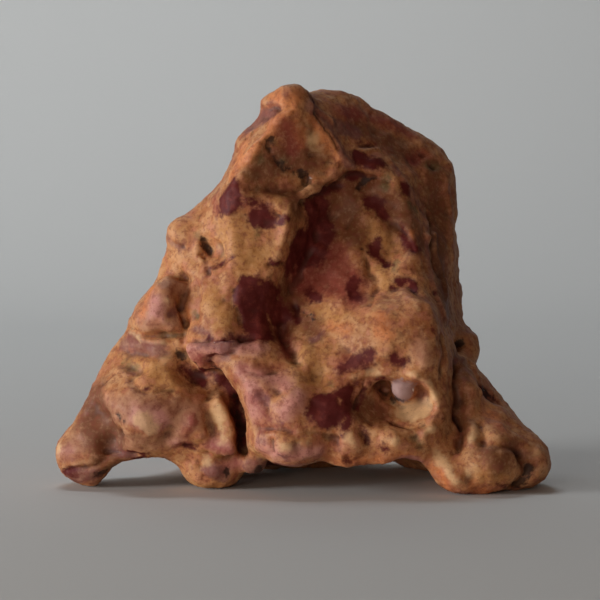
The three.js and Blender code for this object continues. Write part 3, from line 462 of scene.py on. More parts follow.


# --- The stains and painted light ----------------------------------------------------------------
# Iron has stained the agate from tan to orange, ochre, rose, mauve and maroon. Beside the stains,
# some marks are painted shade, in cracks, pits, clefts and on faces the light misses, and some are
# painted highlights and sheen on lit places. Each mark is kept on the skin's points as the distance
# in mm to its edge, so that the material can draw a sharp one.

# Places: half width of the mark in mm, its points
MARKS = {
    "clay": {
        "lobe": (2.6, [(-33.6, 13), (-28, 14), (-22.4, 12.6), (-18, 13)]),
        "lobe foot": (2.0, [(-31, 8.4), (-25, 8.2), (-20.4, 9)]),
        "tip": (2.0, [(-38, 6.4), (-35.6, 8.6)]),
        "crown": (2.2, [(-25.6, 28.6), (-23.4, 31)]),
        "crown top": (1.5, [(-21.8, 33.6), (-20.2, 33)]),
        "crown foot": (1.2, [(-24.6, 27), (-20.6, 27.4)]),
        "shin": (1.2, [(19.6, 22.4), (18.6, 25)]),
    },
    "ochre": {
        "saddle": (1.8, [(-27.4, 20.6), (-24.2, 20), (-21.6, 18.4)]),
        "strip": (0.9, [(-13.8, 13.6), (-13, 10.4)]),
        "buttress": (2.2, [(-12.6, 42.4), (-9.4, 40.6)]),
        "buttress foot": (1.8, [(-7, 38.8), (-9.6, 36.8)]),
        "column": (1.6, [(-14.6, 32), (-13.2, 28.4)]),
        "block": (0.9, [(1.9, 56.8), (2, 55.6)]),
        "block foot": (1.6, [(-2.6, 47), (-1.2, 44.6)]),
        "slope": (1.5, [(11, 42), (12.8, 40.6), (15, 39.6)]),
        "slope foot": (1.3, [(12.6, 36), (13.4, 33.6)]),
        "dome": (1.6, [(1, 23), (2.6, 22)]),
        "dome top": (1.2, [(3, 29.2), (6, 28.8)]),
        "belly edge": (1.7, [(2.4, 20.2), (2.6, 18.2)]),
        "foot": (1.6, [(29.6, 4), (32, 3.6)]),
    },
    # umber stain, and painted shade on the block, valley, slope, walls, lobe hollow, eye and foot cleft
    "umber_and_shade": {
        "block": (2.6, [(-7, 51.6), (-3, 54), (1, 54)]),
        "block top": (1.2, [(-2.4, 58), (0, 59)]),
        "block foot": (1.6, [(-6, 48.8), (-1.6, 48), (-1, 45)]),
        "lobe": (3.8, [(-34, 14.6), (-32.8, 10.6), (-31.6, 7)]),
        "dome left": (1.6, [(0.4, 28), (2.4, 25.6)]),
        "valley": (3.4, [(4, 47), (4, 42), (1.6, 37)]),
        "valley foot": (2.8, [(-1, 35), (-2.4, 31.4), (-2.6, 27.6), (-3, 24)]),
        "eye": (1.8, [(8, 13.2), (11, 14), (12.6, 13)]),
        "wall": (2.2, [(22, 52), (23, 44), (23, 36), (24, 29)]),
        "wall top": (2.4, [(8, 60), (13, 57), (18, 54)]),
        "slope": (2.8, [(11.6, 48.4), (15.6, 45), (18.4, 41)]),
        "valley right": (2.2, [(7.6, 49), (8.2, 45), (8.2, 41)]),
        "foot cleft": (1.8, [(25.6, 21), (25.8, 16), (25.5, 9)]),
        "foot": (1.6, [(29.4, 7.4), (31, 5), (33.4, 7.8), (36.4, 5)]),
    },
    "olive": {
        "block": (0.7, [(-8.2, 54.2), (-6.6, 54.2)]),
        "block top": (0.4, [(1.1, 59.6), (0.8, 56.6)]),
        "crack": (0.6, [(-3, 54.2)]),
        "speck": (0.4, [(0.9, 50.2)]),
        "saddle": (0.6, [(-28.7, 20.2), (-27, 19.6)]),
        "pocket": (0.4, [(-22.8, 25.4), (-20, 25.4)]),
        "buttress": (0.5, [(-7.3, 41.6)]),
        "rim": (0.3, [(-16.8, 44.3)]),
        "rim dot": (0.35, [(-17.6, 41.4)]),
        "column": (0.7, [(-17, 28.8)]),
        "column dot": (0.3, [(-12.2, 30.9)]),
        "knuckle pit": (0.7, [(13.7, 50.4), (13.4, 49.6)]),
        "slope top": (0.5, [(17.6, 47)]),
        "slope": (0.6, [(18.7, 45.8)]),
        "slope foot": (0.5, [(15.4, 37.4), (15.2, 36.2)]),
        "wall": (0.8, [(21, 52.6), (22.4, 52.8)]),
        "dome root": (0.7, [(-1.4, 22.2), (-0.6, 21)]),
        "belly": (0.4, [(4.5, 18.3)]),
        "gap": (0.5, [(-0.9, 9), (-0.4, 8)]),
        "eye lid": (0.6, [(17.9, 9.4), (18.6, 8.3)]),
        "foot": (0.4, [(-17.3, 5)]),
        "toe": (0.5, [(26, 2.5)]),
    },
    "orange": {
        "ridge": (0.8, [(-1.4, 62.2), (-4.6, 59.4), (-8, 55.8), (-11.4, 51.4)]),
        "facet": (1.0, [(-9.6, 56), (-10.6, 53.2)]),
        "apex": (1.2, [(-1.6, 63.6), (-4.4, 64)]),
        "block": (0.9, [(3, 57.4), (4.2, 56)]),
        "block warm": (0.9, [(-2.4, 58.8), (-0.4, 56.4)]),
        "block edge": (0.5, [(1.4, 60.6), (4.4, 56.4), (6.4, 53.6)]),
        "block streak": (0.3, [(-1, 60), (-0.8, 58.4)]),
        "block trickle": (0.3, [(-0.2, 59), (-0.1, 57.4)]),
        "crown": (0.7, [(-26.4, 28.4), (-24.6, 32.6)]),
        "column": (0.6, [(-18.6, 29.2), (-18.2, 27.6)]),
        "great patch": (0.5, [(-6.8, 33.8)]),
        "lip": (0.25, [(-18.3, 24.5), (-16.7, 24.1), (-14.9, 24.4)]),
        "eye": (0.35, [(18.3, 18.6), (20, 16.7)]),
        "slope": (0.5, [(18.3, 41.4)]),
        "dome": (1.0, [(12.4, 29), (13.4, 25.8)]),
        "dome left": (0.6, [(4.6, 27.4), (7, 26.4)]),
        # painted highlight on the right foot's bump
        "foot": (1.0, [(30.5, 12.6), (32.8, 10.4)]),
        "toe": (1.1, [(21.6, 4.6), (23.4, 1.2)]),
        "toe right": (0.8, [(27.4, 1.4), (30, 0.6)]),
        "bottom": (0.7, [(6, 5.8), (12, 6), (17, 6.6)]),
    },
    "blush": {
        "belly": (1.6, [(-8.4, 18), (-7.6, 13.8)]),
        "belly heart": (1.8, [(-2.6, 14.4), (-1, 16)]),
        "belly top": (1.4, [(-5, 18.6), (-3, 18)]),
        "lip": (1.3, [(-18.2, 23.2), (-15.6, 22.8), (-12, 24.2), (-7, 24)]),
        "lip foot": (1.0, [(-10, 20), (-7, 20)]),
        "shelf": (0.9, [(-14.4, 7.8), (-12, 7.4)]),
        # painted sheen and highlights on the lobe, the heel and the crown
        "lobe": (1.8, [(-26, 12.6), (-23.4, 12)]),
        "heel": (0.6, [(-20.4, 8.3)]),
        "crown": (1.0, [(-24, 31.2), (-23.8, 29)]),
        "tip": (0.9, [(-38.6, 6)]),
        "under": (1.2, [(-6.6, 8.2), (-3, 6.8), (2.4, 7.6)]),
        "foot": (0.8, [(-13.8, 3.4), (-11, 4.4)]),
    },
    "rose": {
        "wall top": (1.4, [(6, 61.8), (9.6, 61.2)]),
        "wall edge": (1.2, [(11.6, 60.9), (14.5, 59.8), (18.4, 57.8)]),
        "wall dent": (1.2, [(18.5, 53.3), (20.2, 54.6)]),
        "block": (1.4, [(-2.8, 59), (-1.4, 56)]),
        "dome root": (1.4, [(-4, 26), (-2.8, 22.8)]),
        "valley right": (2.0, [(5.2, 38.6), (6.2, 36)]),
        "valley edge": (2.1, [(7.8, 33.4), (8.4, 31.4)]),
        "valley": (3.4, [(0.8, 35), (4.4, 34.6), (7.2, 33.6)]),
        "rim": (0.7, [(-14.4, 47.4), (-13.8, 46)]),
        "patch": (0.8, [(-9, 46.6), (-6, 45.9)]),
        "strand": (0.5, [(-16.4, 21), (-15.7, 19)]),
        "lip": (1.0, [(-17, 22), (-15.6, 21)]),
        "belly": (0.8, [(-7.8, 16.3), (-6.4, 15.6)]),
        "belly stripe": (0.5, [(-6.8, 14.3), (-5.4, 12.8)]),
        "belly arc": (0.5, [(-9.5, 20.8), (-6.6, 21), (-3.6, 20.6)]),
        "belly edge": (0.5, [(-10.6, 18.6)]),
        "crease": (0.55, [(-6.6, 11.3), (-3, 11.5), (-1, 10.8)]),
        "heel": (0.7, [(-17.8, 12.2), (-18.6, 9.8)]),
        "shelf": (0.6, [(-14.8, 7.4), (-12, 6.8)]),
        "eye": (0.6, [(19.6, 16.3), (19.4, 15.3)]),
        "dome": (0.8, [(6.6, 22.4), (5.8, 21)]),
        "foot bump": (0.6, [(32, 10.8)]),
        "foot": (0.5, [(-10.6, 4.8)]),
    },
    "mauve": {
        "facet": (1.5, [(-8.6, 58.8), (-5, 61.4)]),
        "apex": (0.5, [(-3.1, 64.7)]),
        "facet edge": (0.4, [(-11.7, 54.7), (-11.4, 54)]),
        # painted sheen along the block's right ridge
        "right band": (0.8, [(1.4, 62.6), (3.8, 60), (5.8, 57), (8, 52.8)]),
        "wall": (1.3, [(5.4, 59.6), (8.6, 58)]),
        "rim": (0.35, [(-21.9, 41.2), (-21.2, 40.2), (-19.6, 39.6)]),
        "pit fold": (0.3, [(-15.9, 37), (-15.3, 35.6)]),
        "belt": (1.7, [(-28.6, 23.8), (-26, 23.3), (-23.4, 23.1)]),
        "lip": (1.0, [(-16.4, 23.8), (-12.4, 24.6), (-8.4, 24.8)]),
        "belly": (0.4, [(-7.2, 16.4), (-6, 15.2)]),
        "crown": (0.6, [(-21.6, 29.4), (-19.6, 29.2)]),
        "column foot": (0.5, [(-17.4, 26.4), (-15.4, 25.9)]),
        "lip fold": (0.4, [(-15, 21.7), (-13.2, 22.4), (-11, 23.2)]),
        "tip": (0.5, [(-39.3, 8.7)]),
        "foot": (1.2, [(-15, 3.4), (-12.8, 2.6)]),
        "tip under": (1.6, [(-37.8, 2), (-34.6, 2)]),
        "lobe under": (0.6, [(-31.4, 6.2), (-27.4, 6)]),
        # mauve, and painted shade under the belly
        "middle bead": (1.7, [(-8.2, 4), (-7, 3)]),
        "bead": (0.7, [(-6.6, 8.7)]),
        "bottom": (0.5, [(-2.3, 6.5)]),
        "belly foot": (0.4, [(-3.5, 11.8)]),
        "strand": (0.5, [(15, 52.8), (18.6, 47.8), (20.4, 44), (20.6, 41)]),
        "strand foot": (0.5, [(20.6, 41), (21.2, 33.6), (24, 27.2)]),
        "dome": (0.45, [(1.3, 25), (2.4, 25.4), (3.3, 26.2)]),
        "knob": (0.4, [(25.3, 21.2), (27, 20.8)]),
    },
    "maroon": {
        "rim": (2.1, [(-11.6, 48.6), (-11.9, 47)]),
        "rim tail": (0.6, [(-11.4, 50.5), (-11.8, 49)]),
        "rim foot": (1.0, [(-12.9, 45.9)]),
        "rim toe": (0.9, [(-11.1, 46.5)]),
        "patch line": (0.35, [(-10, 47.3), (-8, 47.4), (-5.1, 45.8), (-2.4, 44)]),
        "patch": (1.5, [(-7.2, 44.6), (-5.4, 44.2)]),
        "patch end": (0.7, [(-3.4, 43.8)]),
        # painted shadow under the block's overhang
        "block under": (0.9, [(1, 46.8), (3, 47.9), (5.8, 49.5)]),
        "block dash": (0.25, [(5, 52.6), (6.2, 52.8)]),
        "apex": (0.5, [(1.7, 63.4)]),
        "ledge": (0.25, [(9.3, 55.9), (11.7, 55.8)]),
        "knuckle": (1.3, [(9.3, 53.9), (12.4, 53.2)]),
        "knuckle foot": (0.8, [(7.7, 51.3), (10, 51.2)]),
        "slope top": (1.1, [(11.2, 46.9), (12.9, 46.6), (13.5, 44.8)]),
        "slope strip": (0.5, [(16.5, 49.6), (17.5, 48)]),
        "slope": (0.9, [(16.5, 42.2), (17.2, 40), (18.6, 39.2)]),
        "slope leaf": (0.9, [(12, 39.8), (11.9, 38.4), (13.8, 36.6)]),
        "slope foot": (1.1, [(16.2, 33.7), (17.2, 34.2), (18.2, 33)]),
        "slope edge": (0.4, [(18.4, 35.8)]),
        "slope oval": (0.4, [(14.3, 32.9), (15, 32.7)]),
        "rose edge": (1.2, [(8.7, 33.8), (8.2, 31.8)]),
        "rose foot": (0.6, [(1.2, 32.2), (2.8, 31.5)]),
        # maroon stain, and painted shadow where the buttress shades the valley
        "valley": (2.8, [(2.4, 45.4), (2.4, 42), (0.8, 38.4)]),
        "valley side": (1.8, [(-0.4, 41), (-1.8, 36.6)]),
        "valley foot": (0.8, [(-1.3, 29.6), (-0.9, 27.4)]),
        "great": (2.4, [(-8.4, 32.4), (-8, 29.6), (-6.8, 26.4)]),
        "great right": (2.2, [(-5.6, 32.6), (-4.4, 29)]),
        "great top": (0.6, [(-9.4, 33.7), (-7.2, 34.4), (-5.2, 34.4)]),
        "red line": (0.3, [(-5.4, 37), (-3.3, 36.5)]),
        "pit": (0.45, [(-14.4, 36.5), (-13, 37), (-11.4, 37.7)]),
        "lip crease": (0.2, [(-15, 25.2), (-10, 25), (-7.5, 25.1)]),
        "saddle": (0.4, [(-25.4, 17.2), (-24.8, 17.3)]),
        # painted shadow in the cleft and in the heel crease
        "cleft": (1.1, [(-12.9, 18), (-11.5, 16), (-10.4, 12), (-9.7, 8)]),
        "cleft arm": (0.9, [(-19.2, 20), (-17.6, 18.6), (-16.4, 17.7)]),
        "cleft right": (0.7, [(-14.3, 19), (-13.3, 18)]),
        "heel": (0.45, [(-19, 7.4), (-17.7, 7.1), (-16.4, 7.9)]),
        "belly": (1.9, [(2.9, 15), (3.2, 12.8)]),
        "belly middle": (1.6, [(4.8, 15.2), (5.2, 13.2)]),
        "belly left": (0.7, [(1.6, 13.4)]),
        "belly right": (1.0, [(5, 15.8), (6.6, 17)]),
        "eye stripe": (1.0, [(7.4, 17), (6.8, 14), (7.2, 12)]),
        "eye streak": (0.45, [(9.7, 17.5), (8.8, 15.4), (8.5, 14.2)]),
        "eye brow": (0.4, [(8.2, 18.1), (10.5, 18.3), (12.8, 18.8)]),
        "gap": (0.5, [(9.5, 11.2), (10.2, 9.2)]),
        "bead line": (0.25, [(4.8, 9.7), (6.5, 9.8)]),
        "bead dot": (0.35, [(12.9, 8.3), (13.4, 8)]),
        "crescent": (0.22, [(7.4, 6.5), (8, 5.6), (9.4, 6.5)]),
        "rim bead": (0.4, [(21.4, 13)]),
        "rim dot": (0.4, [(22.5, 12.5)]),
        "dome": (1.3, [(6.8, 21), (9.6, 21.6)]),
        "dome tail": (0.8, [(10.4, 21.6), (10.6, 23)]),
        "dome dot": (0.3, [(12.6, 21.9)]),
        "dome oval": (1.0, [(14.9, 22.3), (15.8, 21.5)]),
        "shin dot": (0.3, [(21.3, 26.8)]),
        "strand dot": (0.3, [(21.8, 32)]),
        "strand fleck": (0.2, [(20.1, 28.8)]),
        "leaf": (0.7, [(29.4, 16.4), (31.8, 14.2)]),
        "foot": (0.5, [(31.5, 1.5), (32.3, 1.2)]),
        "tip": (0.5, [(-38.5, 2.6), (-37.2, 3)]),
    },
    "cream": {
        "pit": (0.4, [(-13.6, 39.7), (-12.8, 38.8)]),
        "crown": (0.5, [(-22.3, 31.2)]),
        "belt": (0.25, [(-28.2, 25.3), (-26.4, 24.6), (-22.6, 24.5)]),
        "saddle": (0.5, [(-22.6, 21.3)]),
        # painted sheen on the lobe
        "lobe": (1.2, [(-25.8, 12.4), (-24.4, 11)]),
        "strip": (0.7, [(-13.4, 13.4), (-12.8, 9)]),
        "foot": (0.7, [(-15.3, 5.3)]),
        # painted highlight on the tip
        "left tip": (0.45, [(-39.8, 7)]),
        "block": (0.5, [(1.9, 57), (2, 55.8)]),
        "bead two": (0.7, [(-3, 8.6)]),
        "bead three": (0.4, [(0.9, 9.4)]),
        "bead four": (0.6, [(8, 9.2)]),
        "bead five": (0.6, [(14.8, 9.2)]),
        # painted highlight on the brow
        "brow": (0.3, [(10.8, 19.4), (11.6, 19.6)]),
        "eye floor": (1.7, [(17, 13.4), (19.5, 13.8)]),
        "eye edge": (0.3, [(14.8, 14.6)]),
        # painted highlight along the eye's rim
        "eye rim": (0.28, [(18, 19.8), (19.8, 18.3), (21.2, 16.8), (22, 15)]),
        "eye lid": (0.4, [(19.3, 10.3), (20.7, 10.8)]),
        "toe": (0.6, [(21.7, 6.2), (23, 5), (24.5, 2.4)]),
        "knob": (0.4, [(26.2, 4.3), (27.4, 4.7)]),
        "fin": (0.4, [(27.3, 10.6), (27.4, 9.4)]),
        "right tip": (0.5, [(38.3, 6.6)]),
    },
    "pearl": {
        "pearl": (2.0, [(16.1, 16.8)]),
    },
    # painted shade in cracks, pits, pores, the cleft, the eye's pocket and slit, and under the belly
    "crevice_shade": {
        "ridge foot": (0.5, [(-5.5, 56.8)]),
        "ridge pit": (0.25, [(-5, 55.5)]),
        "crack": (0.28, [(-5.2, 55.6), (-4.9, 54.1), (-3.9, 53.5), (-2.4, 52.3), (-0.5, 52), (0.5, 51.3)]),
        "speck": (0.2, [(0.5, 51.4), (0.9, 50.6)]),
        "facet pit": (0.18, [(-8.2, 58)]),
        "facet pore": (0.15, [(-9.3, 57.2)]),
        "pit": (0.4, [(-16.2, 40.4), (-15.4, 38.6)]),
        "pore": (0.15, [(-29.5, 12.8), (-29, 12)]),
        "foot pore": (0.3, [(-12, 3.2)]),
        "tip pit": (0.45, [(-33.6, 2.3), (-32.5, 2.9)]),
        "cleft": (0.35, [(-11.6, 16), (-10.4, 12.6), (-9.9, 8)]),
        "cleft top": (0.35, [(-14.8, 20.7), (-13.6, 20.2)]),
        "crown root": (0.4, [(-20.1, 22.2), (-19.6, 21.4)]),
        "dome": (0.25, [(0.3, 29), (1.6, 28.5)]),
        "knob pit": (0.5, [(25.5, 23), (26.6, 23)]),
        "pocket": (0.5, [(12.3, 16.7), (13.6, 16.1)]),
        "slit": (0.25, [(14.4, 15.7), (15.2, 15.2), (17, 15.5)]),
        "knuckle": (0.35, [(9.5, 48.8), (10.4, 50), (11.8, 50.6)]),
        "slope pit": (0.25, [(9.9, 39)]),
        "tip groove": (0.5, [(36.8, 5), (36, 2.3), (34.2, 0.7)]),
        "middle bead": (0.6, [(-7.5, 3.4)]),
        "leaf": (0.5, [(29.8, 16.2), (31.6, 14.4)]),
    },
    "white": {
        "speck": (0.3, [(1.2, 50.8)]),
        "crack dot": (0.15, [(-4.9, 56)]),
        "lip dot": (0.15, [(-14, 24.6)]),
        "leaf dot": (0.12, [(29.8, 16.2)]),
        # painted glint on the pearl
        "pearl edge": (0.3, [(18, 17)]),
    },
}

MARK_REACH = 3  # mm over which a stain's distance is kept

# Stains past the edge of the show face: size of the patches in mm, seed, how rare, how steep
BEHIND = {
    "clay": (11, 11, 0.1, 7),
    "ochre": (10, 12, 0.15, 7),
    "umber_and_shade": (12, 20, 0.15, 7),
    "olive": (6, 13, 0.6, 5),
    "orange": (9, 14, 0.3, 7),
    "blush": (10, 21, 0.5, 7),
    "rose": (11, 15, 0.42, 7),
    "mauve": (8, 16, 0.5, 5),
    "maroon": (8, 17, 0.33, 7),
    "cream": (5, 18, 0.7, 4),
}

# How fast these take over as the skin turns from the front to the back, and how much it has to face
# down before they start on the underside
TURN = 2.5
UNDERSIDE = 0.2


def inside_mark(places, winding, face, lines):
    """How far each place lies inside the mark that the lines make, in mm."""
    inside = np.full(len(places), -float(MARK_REACH))
    for width, line in lines:
        near, gap = gaps(winding, face.lay(line), width + MARK_REACH)
        inside[near] = np.maximum(inside[near], width - gap)
    return inside


def keep(mesh, name, values):
    """Keeps one value for each of a mesh's points, for the material to read."""
    layer = mesh.attributes.new(name, "FLOAT", "POINT")
    layer.data.foreach_set("value", values.astype(np.float32))


# Rounds of averaging: to find what lies around a point, and to smooth how far it lies below that
AROUND_ROUNDS = 8
SMOOTH_ROUNDS = 2


def hollowness(mesh):
    """How far each point lies below the middle of the skin around it, in mm."""
    places, normals = points_of(mesh)
    edges = np.empty(len(mesh.edges) * 2, int)
    mesh.edges.foreach_get("vertices", edges)
    a, b = edges.reshape(-1, 2).T
    count = np.bincount(edges, minlength=len(places))

    def mean(values):
        total = np.bincount(a, values[b], len(places)) + np.bincount(b, values[a], len(places))
        return total / np.maximum(count, 1)

    middle = places.copy()
    for _ in range(AROUND_ROUNDS):
        middle = np.stack([0.5 * middle[:, k] + 0.5 * mean(middle[:, k]) for k in range(3)], 1)
    depth = ((middle - places) * normals).sum(1)
    for _ in range(SMOOTH_ROUNDS):
        depth = 0.5 * depth + 0.5 * mean(depth)
    return depth


show = Face(agate.data)
places, normals = points_of(agate.data)
winding = wandered(places)
hidden = np.clip(0.5 + normals[:, 1] * TURN, 0, 1)
hidden = np.maximum(hidden, np.clip(-UNDERSIDE - normals[:, 2], 0, 1))
for name, lines in MARKS.items():
    values = inside_mark(places, winding, show, lines.values())
    if name in BEHIND:
        size, seed, level, steep = BEHIND[name]
        wild = np.clip((waves(places, size, seed) - level) * steep, -MARK_REACH, MARK_REACH)
        values = np.maximum(values, wild * hidden - MARK_REACH * (1 - hidden))
    keep(agate.data, name, values)
keep(agate.data, "hollow", hollowness(agate.data))


class Value:
    """A socket that adds Math nodes as it is used in an expression."""

    def __init__(self, tree, socket):
        self.tree = tree
        self.socket = socket

    def node(self, kind, inputs=(), output=0, **settings):
        """An output of a new node, with its settings and the values or links of its inputs."""
        made = self.tree.nodes.new(kind)
        for key, value in settings.items():
            setattr(made, key, value)
        for key, value in dict(inputs).items():
            if isinstance(value, Value):
                self.tree.links.new(value.socket, made.inputs[key])
            else:
                made.inputs[key].default_value = value
        return Value(self.tree, made.outputs[output])

    def maths(self, operation, *others):
        return self.node("ShaderNodeMath", enumerate((self, *others)), operation=operation)

    def __add__(self, other):
        return self.maths("ADD", other)

    __radd__ = __add__

    def __mul__(self, other):
        return self.maths("MULTIPLY", other)

    __rmul__ = __mul__

    def __sub__(self, other):
        return self.maths("SUBTRACT", other)

    def __rsub__(self, other):
        return self.node("ShaderNodeMath", {0: other, 1: self}, operation="SUBTRACT")

    def clamped(self, none, full):
        """0 where the value is none, 1 where it is full, smooth between. Either may be the larger."""
        inputs = {"Value": self, "From Min": none, "From Max": full}
        return self.node("ShaderNodeMapRange", inputs, interpolation_type="SMOOTHSTEP")


def colour(red, green, blue):
    """A colour given as it looks on a screen, 0 to 255, as the linear light it stands for."""
    def linear(c):
        c /= 255
        return c / 12.92 if c <= 0.04045 else ((c + 0.055) / 1.055) ** 2.4
    return (linear(red), linear(green), linear(blue), 1)


# The bare stone's own colours and a painted highlight and shade, from the lightest to the darkest
LIGHT_FLECK = colour(214, 168, 134)
# painted highlight, laid where the skin stands out
PAINTED_HIGHLIGHT = colour(216, 160, 118)
SAND = colour(200, 150, 104)
LIGHT_MARBLE = colour(200, 148, 112)
TAN = colour(182, 120, 72)
BRICK = colour(170, 100, 78)
BROWN = colour(152, 88, 48)
DARK_FLECK = colour(132, 66, 48)
BARK = colour(124, 68, 38)
DARK_MARBLE = colour(122, 62, 46)
SPECK = colour(84, 50, 36)
# painted shade, laid in the skin's hollows
PAINTED_HOLLOW_SHADE = colour(54, 28, 18)

# Stains and painted light: their colours, then how soft their edge is in mm and how strongly they
# cover. The soft ones are patchy and lie under the marbling, the sharp ones lie over it.
SOFT_STAINS_AND_PAINTED_LIGHT = {
    "clay": (colour(158, 108, 82), 1.2, 0.75),
    "ochre": (colour(178, 122, 66), 1.4, 0.65),
    # umber stain, and painted shade where the light misses
    "umber_and_shade": (colour(100, 54, 30), 1.6, 0.85),
    "olive": (colour(96, 80, 48), 0.7, 0.7),
    # orange, and a painted highlight on the right foot
    "orange": (colour(200, 116, 66), 0.9, 0.7),
    # blush, and painted sheen and highlights
    "blush": (colour(186, 122, 112), 1.3, 0.8),
    "rose": (colour(130, 52, 44), 1.3, 0.85),
    # mauve, and painted sheen and shade
    "mauve": (colour(112, 66, 64), 0.7, 0.75),
}
SHARP_STAINS_AND_PAINTED_LIGHT = {
    # maroon stain, and painted shadow in the valley, the cleft and under the block
    "maroon": (colour(84, 22, 18), 0.6, 1),
    # cream, and painted highlights and sheen on the tip, brow, eye's rim and lobe
    "cream": (colour(218, 176, 128), 0.7, 0.6),
    "pearl": (colour(164, 130, 124), 0.4, 0.9),
    # painted shade in cracks, pits and clefts
    "crevice_shade": (colour(40, 25, 18), 0.35, 0.85),
    # white specks, and a painted glint
    "white": (colour(240, 232, 224), 0.12, 0.95),
}
MAROON_CLOUDS = colour(138, 62, 48)
CRISP = 0.2  # a stain with an edge softer than this many mm has an edge that strays

# Finest grain: its bump in metres, and how strongly it shows
GRAIN_BUMP = 0.12 * MM
GRAIN_STRENGTH = 0.35
SHINE = 0.22  # how strongly the skin mirrors

# Sockets of the Mix node that takes colours
MIX_A = 6
MIX_B = 7
MIX_RESULT = 2


def skin_material():
    """Waxy, opaque and stained, with fine grain, painted shade in hollows and painted highlights."""
    material = bpy.data.materials.new("agate_skin")
    material.use_nodes = True
    tree = material.node_tree
    shader = tree.nodes["Principled BSDF"]
    start = Value(tree, None)
    place = start.node("ShaderNodeTexCoord", output="Object")

    def mottle(size, detail=3, rough=0.6):
        inputs = {"Vector": place, "Scale": 1 / (size * MM), "Detail": detail, "Roughness": rough}
        return start.node("ShaderNodeTexNoise", inputs)

    def mix(factor, under, over):
        inputs = {"Factor": factor, MIX_A: under, MIX_B: over}
        return start.node("ShaderNodeMix", inputs, MIX_RESULT, data_type="RGBA")

    def kept(name):
        return start.node("ShaderNodeAttribute", output="Fac", attribute_name=name)

    # noise, by the size of its cells in mm
    broad = mottle(9)
    middling = mottle(2.2)
    marble = mottle(1.5, 4, 0.7)
    fine = mottle(0.7)
    speck = mottle(0.35, 2)
    hollow = kept("hollow")

    # the bare stone, with a painted highlight where it stands out;
    # each layer starts and is full at the two values
    base = mix(broad.clamped(0.35, 0.65), TAN, BROWN)
    base = mix(middling.clamped(0.45, 0.62) * 0.5, base, SAND)
    base = mix(middling.clamped(0.5, 0.36) * 0.5, base, BRICK)
    base = mix(fine.clamped(0.5, 0.66) * 0.35, base, BARK)
    base = mix(hollow.clamped(-0.02, -0.15) * 0.25, base, PAINTED_HIGHLIGHT)

    # the soft stains and painted shade and sheen, their edges straying by mm
    strays = (fine - 0.5) * 1.1 + (middling - 0.5) * 3.4 + 0.1
    patches = (middling * 0.9 + 0.6).clamped(0, 1.05)
    for name, (tint, soft, strength) in SOFT_STAINS_AND_PAINTED_LIGHT.items():
        base = mix((kept(name) + strays).clamped(-soft, soft) * strength * patches, base, tint)

    # marbling and flecks
    base = mix(marble.clamped(0.52, 0.68) * 0.2, base, LIGHT_MARBLE)
    base = mix(fine.clamped(0.52, 0.66) * 0.4, base, DARK_FLECK)
    base = mix(fine.clamped(0.46, 0.34) * 0.1, base, LIGHT_FLECK)
    base = mix(marble.clamped(0.48, 0.34) * 0.5, base, DARK_MARBLE)

    # the sharp stains, painted shade and painted highlights, the maroon ones clouded inside
    for name, (tint, soft, strength) in SHARP_STAINS_AND_PAINTED_LIGHT.items():
        edge = kept(name) + (strays if soft > CRISP else 0)
        base = mix(edge.clamped(-soft, soft) * strength, base, tint)
        if name == "maroon":
            clouds = kept(name).clamped(-0.2, 1.6) * marble.clamped(0.46, 0.64) * 0.32
            base = mix(clouds, base, MAROON_CLOUDS)

    # specks, and painted shade in the hollows
    base = mix(speck.clamped(0.62, 0.75) * 0.35, base, SPECK)
    base = mix(hollow.clamped(0.02, 0.16) * 0.55, base, PAINTED_HOLLOW_SHADE)

    gloss = middling * 0.2 + fine * 0.14 + 0.4
    relief = fine * 0.6 + speck * 0.4
    inputs = {"Height": relief, "Strength": GRAIN_STRENGTH, "Distance": GRAIN_BUMP}
    bump = start.node("ShaderNodeBump", inputs)
    tree.links.new(base.socket, shader.inputs["Base Color"])
    tree.links.new(gloss.socket, shader.inputs["Roughness"])
    tree.links.new(bump.socket, shader.inputs["Normal"])
    shader.inputs["Specular IOR Level"].default_value = SHINE
    return material


agate.data.materials.clear()
agate.data.materials.append(skin_material())
for polygon in agate.data.polygons:
    polygon.use_smooth = True
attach(agate, "root")
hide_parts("agate")


# --- The table -----------------------------------------------------------------------------------
# A sheet of pale matt paper, which the stone stands on. It lies flat, bends up behind the stone
# without a corner, and goes on as the wall.
TABLE_HALF = 0.9
TABLE_FRONT = -0.6
BEND_START = 0.32
BEND_RADIUS = 0.25
BEND_STEPS = 16
WALL_HEIGHT = 1.2
PAPER = colour(196, 191, 184)


def sweep():
    profile = [(TABLE_FRONT, 0.0), (BEND_START, 0.0)]
    for k in range(1, BEND_STEPS + 1):
        turn = math.radians(90) * k / BEND_STEPS
        y = BEND_START + BEND_RADIUS * math.sin(turn)
        z = BEND_RADIUS * (1 - math.cos(turn))
        profile.append((y, z))
    profile.append((BEND_START + BEND_RADIUS, WALL_HEIGHT))
    corners = [(x, y, z) for y, z in profile for x in (-TABLE_HALF, TABLE_HALF)]
    faces = [(k, k + 1, k + 3, k + 2) for k in range(0, len(corners) - 2, 2)]
    mesh = bpy.data.meshes.new("table")
    mesh.from_pydata(corners, [], faces)
    table = bpy.data.objects.new("table", mesh)
    bpy.context.scene.collection.objects.link(table)
    for polygon in mesh.polygons:
        polygon.use_smooth = True
    material = bpy.data.materials.new("paper")
    material.use_nodes = True
    shader = material.node_tree.nodes["Principled BSDF"]
    shader.inputs["Base Color"].default_value = PAPER
    shader.inputs["Roughness"].default_value = 0.9
    mesh.materials.append(material)
    return table


sweep()


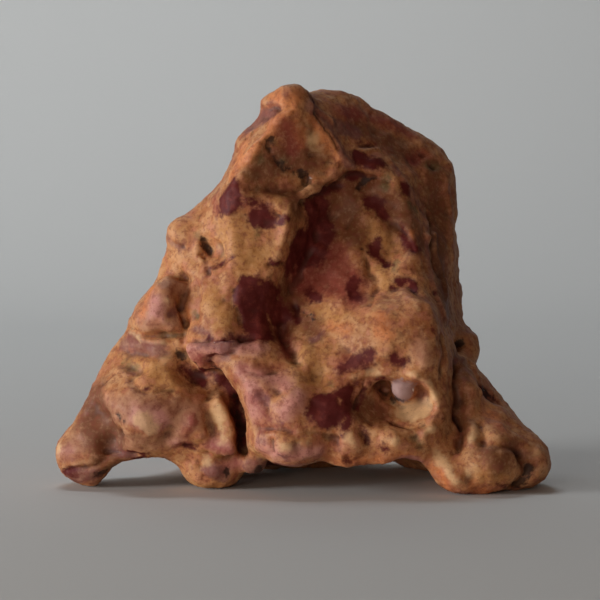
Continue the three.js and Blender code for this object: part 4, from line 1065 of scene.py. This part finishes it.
# --- Light and camera ----------------------------------------------------------------------------
# One soft window low on the left, a weak glow from the table in front, a light that falls mostly
# on the wall behind, and a dim even room. The camera looks a little down on the show face.
LOOK_AT = Vector((-0.00038, -0.0025, 0.0303))
CAMERA_DISTANCE = 0.45
CAMERA_ELEVATION = math.radians(4)
VIEW_WIDTH = 0.1  # what the picture takes in, across, at the stone

WINDOW_TINT = (0.87, 0.94, 1)
GLOW_TINT = (1, 0.9, 0.8)
WALL_TINT = (0.74, 0.87, 1)
ROOM_TINT = (0.74, 0.52, 0.4, 1)
ROOM_STRENGTH = 0.1


def lamp(name, place, aim, size, power, tint):
    """A square lamp turned towards its aim, its size in metres and its power in watts."""
    light = bpy.data.lights.new(name, "AREA")
    light.shape = "SQUARE"
    light.size = size
    light.energy = power
    light.color = tint
    holder = bpy.data.objects.new(name, light)
    holder.location = place
    holder.rotation_euler = (Vector(aim) - holder.location).to_track_quat("-Z", "Y").to_euler()
    bpy.context.scene.collection.objects.link(holder)


lamp("window", (-0.65, -0.26, 0.1), LOOK_AT, size=0.26, power=5.3, tint=WINDOW_TINT)
lamp("table_glow", (-0.16, -0.44, 0.015), LOOK_AT, size=0.2, power=1.05, tint=GLOW_TINT)
lamp("wall_light", (-0.15, 0.2, 0.75), (-0.1, 0.6, 0.4), size=0.3, power=3.2, tint=WALL_TINT)

world = bpy.data.worlds.new("room")
world.use_nodes = True
room = world.node_tree.nodes["Background"]
room.inputs["Color"].default_value = ROOM_TINT
room.inputs["Strength"].default_value = ROOM_STRENGTH
bpy.context.scene.world = world

camera = bpy.data.cameras.new("camera")
camera.sensor_width = 36
camera.lens = camera.sensor_width * CAMERA_DISTANCE / VIEW_WIDTH
viewpoint = bpy.data.objects.new("camera", camera)
back = Vector((0, -math.cos(CAMERA_ELEVATION), math.sin(CAMERA_ELEVATION)))
viewpoint.location = LOOK_AT + CAMERA_DISTANCE * back
viewpoint.rotation_euler = (-back).to_track_quat("-Z", "Y").to_euler()
bpy.context.scene.collection.objects.link(viewpoint)
bpy.context.scene.camera = viewpoint
bpy.context.scene.view_settings.view_transform = "Standard"
